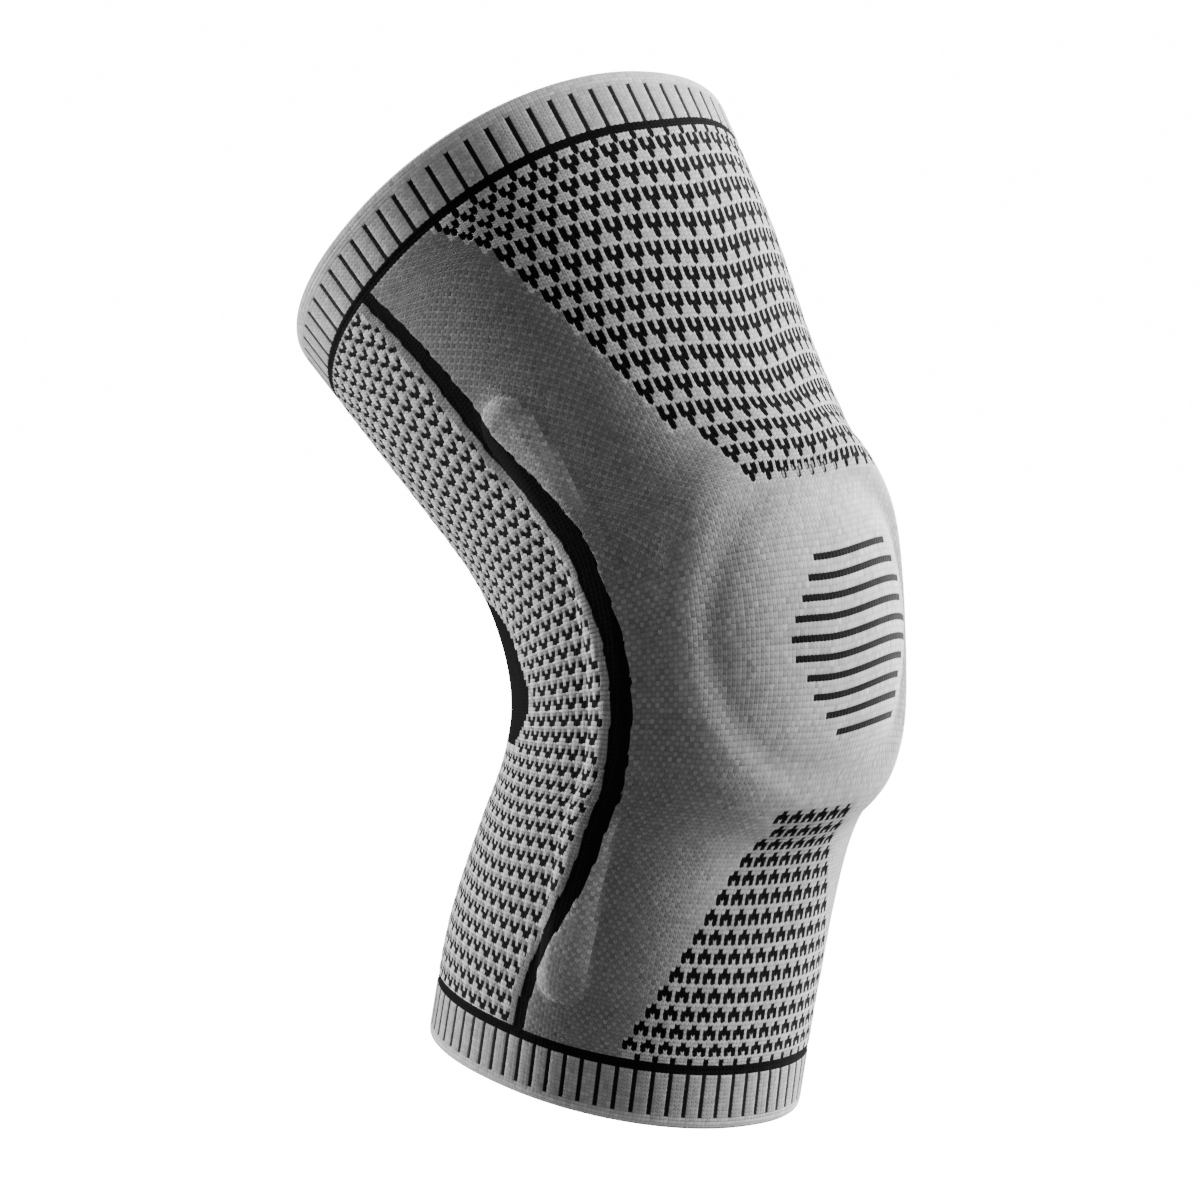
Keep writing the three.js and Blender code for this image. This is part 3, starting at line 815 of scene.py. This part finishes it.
def knit_object(name, parts):
    """One mesh from parts of grids.

    Each part has its points, their normals, the cells that it keeps, the size of a cell in the UV
    map, the shade of each cell, and whether its faces turn the other way.
    """
    vertices = []
    normals = []
    faces = []
    uvs = []
    shades = []
    count = 0
    for points, outward, cells, uv_scale, shade, reverse in parts:
        columns = points.shape[1]
        i, j = np.nonzero(cells)
        steps = ((0, 0), (1, 0), (1, 1), (0, 1))
        corners = np.stack([(i + up) * columns + (j + on) % columns for on, up in steps], axis=1)
        uv = np.stack([np.stack([j + on, i + up], axis=1) for on, up in steps], axis=1)
        uv = uv * np.array(uv_scale)
        if not reverse:
            corners = corners[:, ::-1]
            uv = uv[:, ::-1]
        used, index = np.unique(corners, return_inverse=True)
        vertices.append(points.reshape(-1, 3)[used] * MM)
        normals.append(outward.reshape(-1, 3)[used])
        faces.append(index.reshape(-1, 4) + count)
        uvs.append(uv.reshape(-1, 2))
        shades.append(shade[i, j])
        count += len(used)
    vertices = np.concatenate(vertices)
    normals = np.concatenate(normals)
    faces = np.concatenate(faces)
    mesh = bpy.data.meshes.new(name)
    mesh.vertices.add(len(vertices))
    mesh.vertices.foreach_set("co", vertices.astype(np.float32).ravel())
    mesh.loops.add(faces.size)
    mesh.loops.foreach_set("vertex_index", faces.astype(np.int32).ravel())
    mesh.polygons.add(len(faces))
    mesh.polygons.foreach_set("loop_start", np.arange(0, faces.size, 4, dtype=np.int32))
    mesh.update(calc_edges=True)
    layer = mesh.uv_layers.new(name="stitches")
    layer.data.foreach_set("uv", np.concatenate(uvs).astype(np.float32).ravel())
    tint = mesh.attributes.new("tint", "FLOAT", "FACE")
    tint.data.foreach_set("value", np.concatenate(shades).astype(np.float32))
    mesh.polygons.foreach_set("use_smooth", np.ones(len(faces), bool))
    mesh.normals_split_custom_set_from_vertices(normals.tolist())
    made = bpy.data.objects.new(name, mesh)
    bpy.context.scene.collection.objects.link(made)
    return made


class Nodes:
    """Short names for the nodes of one material."""

    def __init__(self, name):
        self.material = bpy.data.materials.new(name)
        self.material.use_nodes = True
        self.tree = self.material.node_tree
        self.shader = self.tree.nodes["Principled BSDF"]
        self.place = self.add("ShaderNodeTexCoord").outputs["Object"]

    def add(self, kind, **settings):
        node = self.tree.nodes.new(kind)
        for key, value in settings.items():
            setattr(node, key, value)
        return node

    def link(self, source, target):
        self.tree.links.new(source, target)

    def math(self, operation, *values):
        node = self.add("ShaderNodeMath", operation=operation)
        for socket, value in zip(node.inputs, values):
            if isinstance(value, (int, float)):
                socket.default_value = value
            else:
                self.link(value, socket)
        return node.outputs[0]

    def noise(self, scale, detail):
        """Noise that stays in place on the object."""
        node = self.add("ShaderNodeTexNoise")
        node.inputs["Scale"].default_value = scale
        node.inputs["Detail"].default_value = detail
        self.link(self.place, node.inputs["Vector"])
        return node.outputs[0]

    def colour_grey(self, value):
        node = self.add("ShaderNodeCombineColor")
        for socket in node.inputs[:3]:
            self.link(value, socket)
        self.link(node.outputs[0], self.shader.inputs["Base Color"])

    def roughen(self, roughness, spread, noise):
        """Roughness that varies around a value by half a spread to either side."""
        rough = self.math("ADD", roughness - spread / 2, self.math("MULTIPLY", noise, spread))
        self.link(rough, self.shader.inputs["Roughness"])

    def bump(self, height, depth, strength):
        """Bump whose depth is in millimetres."""
        node = self.add("ShaderNodeBump")
        node.inputs["Strength"].default_value = strength
        node.inputs["Distance"].default_value = depth * MM
        self.link(height, node.inputs["Height"])
        self.link(node.outputs[0], self.shader.inputs["Normal"])


# Yarn: how full the legs and strands are, the share of the strands in its height, the share of
# fibres in its bump, its noises, in cycles to a metre, and how patchy its shade is
FULLNESS = 0.6
STRAND_SHARE = 0.55
FIBRE_SHARE = 0.25
FIBRE_SCALE = 2600
PATCH_SCALE = 90
PATCHY = 0.28

# Gel and plastic: the noise of their clouds, in cycles to a metre, and how cloudy they are
CLOUD_SCALE = 120
CLOUDY = 0.4


def knit_material(name, depth, groove, roughness, sheen, shine):
    """Knitted yarn: the V of each stitch from the grid's own coordinates, its shade from the chart.

    The depth of the bump is in millimetres. The groove is how much painted shade darkens the yarn
    between its strands, and the shine is the specular level.
    """
    n = Nodes(name)
    uv = n.add("ShaderNodeUVMap", uv_map="stitches")
    split = n.add("ShaderNodeSeparateXYZ")
    n.link(uv.outputs[0], split.inputs[0])
    across = n.math("ABSOLUTE", n.math("SINE", n.math("MULTIPLY", split.outputs[0], 2 * math.pi)))
    loop = n.math("ABSOLUTE", n.math("SINE", n.math("MULTIPLY", split.outputs[0], math.pi)))
    legs = n.math("POWER", n.math("MULTIPLY", n.math("ADD", across, loop), 0.5), FULLNESS)
    along = n.math("ABSOLUTE", n.math("SINE", n.math("MULTIPLY", split.outputs[1], math.pi)))
    strands = n.math("MULTIPLY", n.math("POWER", along, FULLNESS), STRAND_SHARE)
    height = n.math("ADD", n.math("MULTIPLY", legs, 1 - STRAND_SHARE), strands)
    fibres = n.noise(FIBRE_SCALE, 2)
    patches = n.noise(PATCH_SCALE, 3)
    tint = n.add("ShaderNodeAttribute", attribute_name="tint")
    # Painted shade between the strands of each stitch
    groove_painted_shade = n.math("ADD", 1 - groove, n.math("MULTIPLY", height, groove))
    uneven = n.math("ADD", 1 - PATCHY / 2, n.math("MULTIPLY", patches, PATCHY))
    n.colour_grey(n.math("MULTIPLY", n.math("MULTIPLY", tint.outputs["Fac"], groove_painted_shade), uneven))
    n.roughen(roughness, 0.1, fibres)
    n.shader.inputs["Sheen Weight"].default_value = sheen
    n.shader.inputs["Sheen Roughness"].default_value = 0.5
    n.shader.inputs["Specular IOR Level"].default_value = shine
    n.bump(n.math("ADD", height, n.math("MULTIPLY", fibres, FIBRE_SHARE)), depth, 1.0)
    return n.material


def solid_material(name, shade, roughness, grain_scale, depth, subsurface=0.0):
    """Gel or plastic: cloudy, with a fine moulded grain whose bump is a depth in millimetres."""
    n = Nodes(name)
    grain = n.noise(grain_scale, 3)
    cloud = n.noise(CLOUD_SCALE, 2)
    cloudy = n.math("ADD", 1 - CLOUDY / 2, n.math("MULTIPLY", cloud, CLOUDY))
    n.colour_grey(n.math("MULTIPLY", shade, cloudy))
    n.roughen(roughness, 0.16, grain)
    n.shader.inputs["Subsurface Weight"].default_value = subsurface
    n.shader.inputs["Subsurface Scale"].default_value = 2 * MM
    n.bump(grain, depth, 0.5)
    return n.material


def sweep(name, rings, closed):
    """Closed band through rings of points, with capped ends if it is open."""
    count, size = rings.shape[:2]
    mesh = bpy.data.meshes.new(name)
    faces = []
    for k in range(count if closed else count - 1):
        base = k * size
        following = ((k + 1) % count) * size
        for m in range(size):
            o = (m + 1) % size
            faces.append((base + m, base + o, following + o, following + m))
    if not closed:
        faces.append(tuple(range(size))[::-1])
        faces.append(tuple((count - 1) * size + m for m in range(size)))
    mesh.from_pydata((rings.reshape(-1, 3) * MM).tolist(), [], faces)
    mesh.polygons.foreach_set("use_smooth", np.ones(len(faces), bool))
    mesh.update()
    made = bpy.data.objects.new(name, mesh)
    bpy.context.scene.collection.objects.link(made)
    return made


# Sections of the ring and the stays: how flat they are on top and at the side, as powers
RING_FLATNESS = (0.7, 0.8)
STAY_FLATNESS = (0.5, 0.6)

# Steps of their meshes, the ring's grooves and the stays' channel
RING_STEPS = 240
RING_PROFILE = 40
RING_GROOVES = 36
RING_GROOVE_DEPTH = 0.09
RING_GROOVE_POWER = 6
STAY_STEPS = 90
STAY_END_STEPS = 12
STAY_END_START = 0.02
STAY_PROFILE = 28
STAY_CHANNEL = 0.25
STAY_CHANNEL_SPREAD = 0.2


def flattened_section(steps, flatness):
    """Outline of a section: across it from -0.5 to 0.5 and into the leg from 0 to 1."""
    turn = np.linspace(0, 2 * math.pi, steps, endpoint=False)
    across = np.sign(np.cos(turn)) * np.abs(np.cos(turn)) ** flatness[0] * 0.5
    deep = 0.5 - 0.5 * np.sign(np.sin(turn)) * np.abs(np.sin(turn)) ** flatness[1]
    return across, deep


def pad_ring():
    """Gel ring with a rounded section and shallow cross grooves that let it flex."""
    turns = np.linspace(0, 2 * math.pi, RING_STEPS, endpoint=False)
    across, deep = flattened_section(RING_PROFILE, RING_FLATNESS)
    rings = []
    for turn in turns:
        at_groove = max(0.0, math.cos(turn * RING_GROOVES)) ** RING_GROOVE_POWER
        groove = 1 - RING_GROOVE_DEPTH * at_groove
        out = across * RING_BAND
        along = -RING_DROP + (RING_HALF_HEIGHT + out) * math.cos(turn)
        place = (RING_HALF_WIDTH + out) * math.sin(turn) / girth_at(0.0)
        depth = KNIT_WALL + GAP + RING_CLEARANCE + deep * groove * RING_THICKNESS
        rings.append(cloth_point(along, place, depth))
    return sweep("patella_ring_gel", np.array(rings), True)


def side_stay(name, side):
    """Flexible strip with round ends and a shallow channel along its middle."""
    length = STAY_TOP + STAY_BOTTOM
    end = STAY_WIDTH / 2
    places = np.concatenate([
        end * (1 - np.cos(np.linspace(STAY_END_START, math.pi / 2, STAY_END_STEPS))),
        np.linspace(end, length - end, STAY_STEPS)[1:-1],
        length - end * (1 - np.cos(np.linspace(math.pi / 2, STAY_END_START, STAY_END_STEPS))),
    ])
    across, deep = flattened_section(STAY_PROFILE, STAY_FLATNESS)
    channel = STAY_CHANNEL * hump(across, STAY_CHANNEL_SPREAD) * (deep > 0.5)
    rings = []
    for place in places:
        to_end = min(1.0, min(place, length - place) / end)
        width = STAY_WIDTH * math.sqrt(max(1e-4, to_end * (2 - to_end)))
        along = np.full(STAY_PROFILE, STAY_TOP - place)
        turn = side * (stay_round(along) + across * width / girth_at(along))
        depth = KNIT_WALL + GAP + STAY_CLEARANCE + (deep - channel) * STAY_THICKNESS
        rings.append(cloth_point(along, turn, depth))
    rings = np.array(rings)
    if side < 0:
        rings = rings[:, ::-1]
    return sweep(name, rings, False)


def build_knit(materials):
    """The knit of all zones: outer face, inner face and, on the cuffs, the rolled hems."""
    outer = face_vertices()
    inner = inner_vertices()
    top = np.concatenate([outer[-1:], roll_rows(THIGH_REACH, 1), inner[-1:]])
    bottom = np.concatenate([outer[:1], roll_rows(-CALF_REACH, -1), inner[:1]])
    outer_normals = grid_normals(outer, 1)
    inner_normals = grid_normals(inner, -1)
    top_normals = grid_normals(top, 1)
    bottom_normals = grid_normals(bottom, -1)
    inner_zone = ZONE_MAP[::INNER_STEP]
    # Inside, the floats of the yarn that is not on the face show: light where the face is black
    turned = np.where(BLACK_MAP, FLOAT_YARN, REVERSE_SHADE * SHADE_MAP)
    inner_shade = (turned[::INNER_STEP] + turned[1::INNER_STEP]) / 2
    roll_shade = np.full((top.shape[0], COLUMNS), HEM_YARN)
    every = np.ones((top.shape[0] - 1, COLUMNS), bool)
    for name in ZONES:
        cells = ZONE_MAP == ZONE[name]
        parts = [
            (outer, outer_normals, cells, (0.5, 1.0), SHADE_MAP, False),
            (inner, inner_normals, inner_zone == ZONE[name], (0.5, 2.0), inner_shade, True),
        ]
        if name == "upper_cuff":
            parts.append((top, top_normals, every, (0.5, 0.5), roll_shade, False))
        if name == "lower_cuff":
            parts.append((bottom, bottom_normals, every, (0.5, 0.5), roll_shade, True))
        made = knit_object(name + "_knit", parts)
        slot_name, material = materials[name]
        made.data.materials.append(material)
        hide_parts(name)
        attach(made, "root")


def plain_shade(name, shade, strength):
    material = bpy.data.materials.new(name)
    material.use_nodes = True
    shader = material.node_tree.nodes["Principled BSDF"]
    shader.inputs["Base Color"].default_value = (shade, shade, shade, 1)
    shader.inputs["Roughness"].default_value = 0.9
    shader.inputs["Specular IOR Level"].default_value = 0.0
    shader.inputs["Emission Color"].default_value = (1, 1, 1, 1)
    shader.inputs["Emission Strength"].default_value = strength
    return material


# The photograph's view
VIEW_AZIMUTH = -47.0
VIEW_ELEVATION = 2.0
VIEW_DISTANCE = 1.5
LENS = 150
SENSOR = 36
AXIS_RIGHT = -32.7
AXIS_UP = 12.0


def view_directions(azimuth, elevation):
    a = math.radians(azimuth)
    e = math.radians(elevation)
    right = Vector((math.cos(a), math.sin(a), 0))
    back = Vector((math.sin(a) * math.cos(e), -math.cos(a) * math.cos(e), math.sin(e)))
    return right, back.cross(right), back


def make_camera():
    right, up, back = view_directions(VIEW_AZIMUTH, VIEW_ELEVATION)
    data = bpy.data.cameras.new("camera")
    data.lens = LENS
    data.sensor_width = SENSOR
    data.sensor_fit = "HORIZONTAL"
    data.clip_start = 0.05
    data.clip_end = 50
    made = bpy.data.objects.new("camera", data)
    bpy.context.scene.collection.objects.link(made)
    axis = right * (AXIS_RIGHT * MM) + up * (AXIS_UP * MM)
    turned = Matrix((right, up, back)).transposed().to_4x4()
    made.matrix_world = Matrix.Translation(axis + back * VIEW_DISTANCE) @ turned
    bpy.context.scene.camera = made


def area_light(name, azimuth, elevation, distance, size, power):
    """A soft box aimed at the knee. Its azimuth and elevation say where it stands."""
    right, up, back = view_directions(azimuth, elevation)
    data = bpy.data.lights.new(name, "AREA")
    data.shape = "RECTANGLE"
    data.size = size[0]
    data.size_y = size[1]
    data.energy = power
    made = bpy.data.objects.new(name, data)
    bpy.context.scene.collection.objects.link(made)
    turned = Matrix((right, up, back)).transposed().to_4x4()
    made.matrix_world = Matrix.Translation(back * distance) @ turned


# Soft boxes: name, azimuth, elevation, distance in metres, width and height in metres, and power in
# watts. Azimuth 0 is in front of the kneecap and 90 on the wearer's left, and left and right in the
# names are those of the photograph.
LIGHTS = [
    ("right_box", 84, 12, 1.3, (0.5, 1.5), 70),
    ("right_high_box", 45, 40, 1.3, (0.5, 0.9), 18),
    ("right_front_box", 38, 12, 1.3, (0.5, 0.9), 11),
    ("camera_box", -47, 10, 2.0, (1.2, 1.2), 1.5),
    ("left_box", -163, 12, 1.3, (0.5, 1.2), 38),
]
FILL_STRENGTH = 0.24
BACKDROP_STRENGTH = 16
FLOOR_REACH = 15.0
FLOOR_HEIGHT = -0.21


def make_world():
    """Soft white light all round, and a white backdrop that only the camera sees."""
    world = bpy.data.worlds.new("studio")
    bpy.context.scene.world = world
    world.use_nodes = True
    tree = world.node_tree
    background = tree.nodes["Background"]
    background.inputs[0].default_value = (1, 1, 1, 1)
    background.inputs[1].default_value = FILL_STRENGTH
    backdrop = tree.nodes.new("ShaderNodeBackground")
    backdrop.inputs[0].default_value = (1, 1, 1, 1)
    backdrop.inputs[1].default_value = BACKDROP_STRENGTH
    path = tree.nodes.new("ShaderNodeLightPath")
    mix = tree.nodes.new("ShaderNodeMixShader")
    tree.links.new(path.outputs["Is Camera Ray"], mix.inputs[0])
    tree.links.new(background.outputs[0], mix.inputs[1])
    tree.links.new(backdrop.outputs[0], mix.inputs[2])
    tree.links.new(mix.outputs[0], tree.nodes["World Output"].inputs[0])


def make_floor():
    """A white floor that adds no light to the sleeve."""
    far = FLOOR_REACH
    low = FLOOR_HEIGHT
    corners = [(-far, -far, low), (far, -far, low), (far, far, low), (-far, far, low)]
    mesh = bpy.data.meshes.new("floor")
    mesh.from_pydata(corners, [], [(0, 1, 2, 3)])
    floor = bpy.data.objects.new("floor", mesh)
    bpy.context.scene.collection.objects.link(floor)
    mesh.materials.append(plain_shade("pale_floor", 0.8, BACKDROP_STRENGTH))
    floor.visible_diffuse = False
    floor.visible_glossy = False


def knit_materials():
    """For each zone, the name of its slot and its material."""
    light_knit = knit_material(
        "light_yarn_knit", depth=0.4, groove=0.7, roughness=0.9, sheen=0.02, shine=0.06)
    dark_knit = knit_material(
        "dark_mesh_knit", depth=0.3, groove=0.4, roughness=0.9, sheen=0.06, shine=0.15)
    black_knit = knit_material(
        "black_yarn_knit", depth=0.25, groove=0.4, roughness=0.95, sheen=0.0, shine=0.04)
    cuff_knit = knit_material(
        "cuff_rib_knit", depth=0.25, groove=0.35, roughness=0.85, sheen=0.1, shine=0.15)
    light = ("light_knit", light_knit)
    dark = ("dark_knit", dark_knit)
    black = ("black_yarn", black_knit)
    cuff = ("cuff_knit", cuff_knit)
    return {
        "upper_cuff": cuff,
        "lower_cuff": cuff,
        "upper_trim": black,
        "lower_trim": black,
        "side_band_left": black,
        "side_band_right": black,
        "thigh_panel": light,
        "shin_panel": light,
        "back_panel": light,
        "knee_panel": dark,
        "popliteal_panel": black,
    }


def build_pad():
    ring = pad_ring()
    gel = solid_material(
        "pad_gel", shade=0.32, roughness=0.45, grain_scale=900, depth=0.15, subsurface=0.15)
    ring.data.materials.append(gel)
    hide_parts("patella_ring")
    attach(ring, "root")


def build_stays():
    plastic = solid_material(
        "stay_plastic", shade=0.03, roughness=0.5, grain_scale=2200, depth=0.1)
    for name, side in (("side_stay_left", -1), ("side_stay_right", 1)):
        stay = side_stay(name + "_strip", side)
        stay.data.materials.append(plastic)
        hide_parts(name)
        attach(stay, "root")


def main():
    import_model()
    build_knit(knit_materials())
    build_pad()
    build_stays()
    for light in LIGHTS:
        area_light(*light)
    make_world()
    make_floor()
    make_camera()


main()
